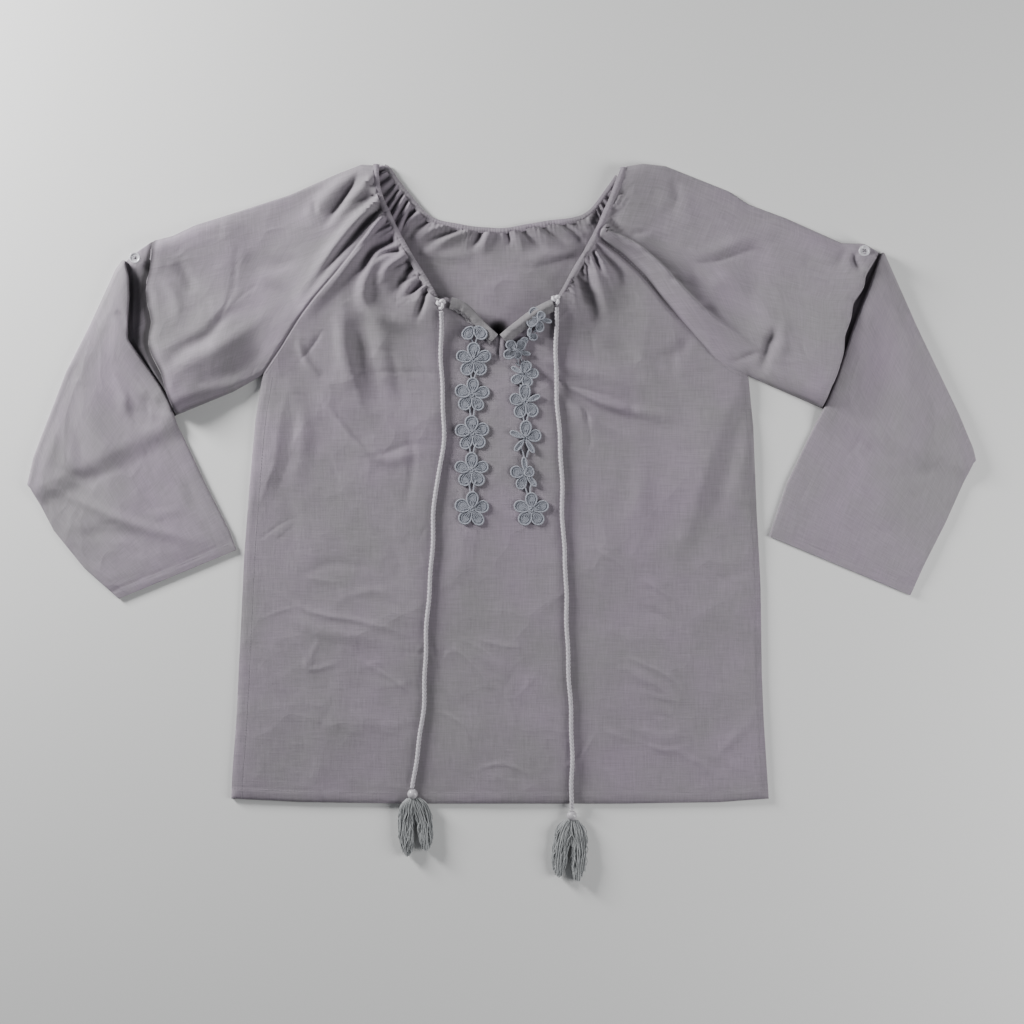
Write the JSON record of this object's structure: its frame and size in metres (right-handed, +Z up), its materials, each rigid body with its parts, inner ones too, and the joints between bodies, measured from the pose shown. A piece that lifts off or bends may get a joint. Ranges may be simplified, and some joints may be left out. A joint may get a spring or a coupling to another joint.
{
  "type": "peasant top",
  "caption": "Raglan peasant top in plain cloth, laid flat front up, with a gathered bound neck, a neck slit, daisy lace trims, sleeves folded at the elbow, and tasselled drawcords.",
  "frame": {"origin": "on the surface that the top lies on, under the middle of the cloth's outline", "axes": "+X across the top, +Y from the hem to the neck, +Z up from the surface towards the viewer"},
  "size_m": [0.9868, 0.7458, 0.021],
  "materials": {
    "cloth": "plain woven grey-mauve cotton and viscose, soft and matt",
    "lace": "blue-grey guipure lace with corded petal outlines",
    "cord": "light grey twisted cotton cord",
    "yarn": "grey cotton yarn, cut ends",
    "bead": "pearly grey, smooth",
    "pearl": "pearly white-grey, polished"
  },
  "bodies": {
    "root": {"front_panel": "cloth", "back_panel": "cloth", "sleeve_left": "cloth", "sleeve_right": "cloth", "binding_left": "cloth", "binding_right": "cloth", "binding_back": "cloth", "slit_facing_left": "cloth", "slit_facing_right": "cloth", "lace_left": "lace", "lace_right": "lace", "button_left": "pearl", "button_right": "pearl", "knot_left": "cord", "knot_right": "cord", "cord_left": "cord", "cord_right": "cord", "bead_left": "bead", "bead_right": "bead", "tassel_left": "yarn", "tassel_right": "yarn"}
  },
  "joints": []
}
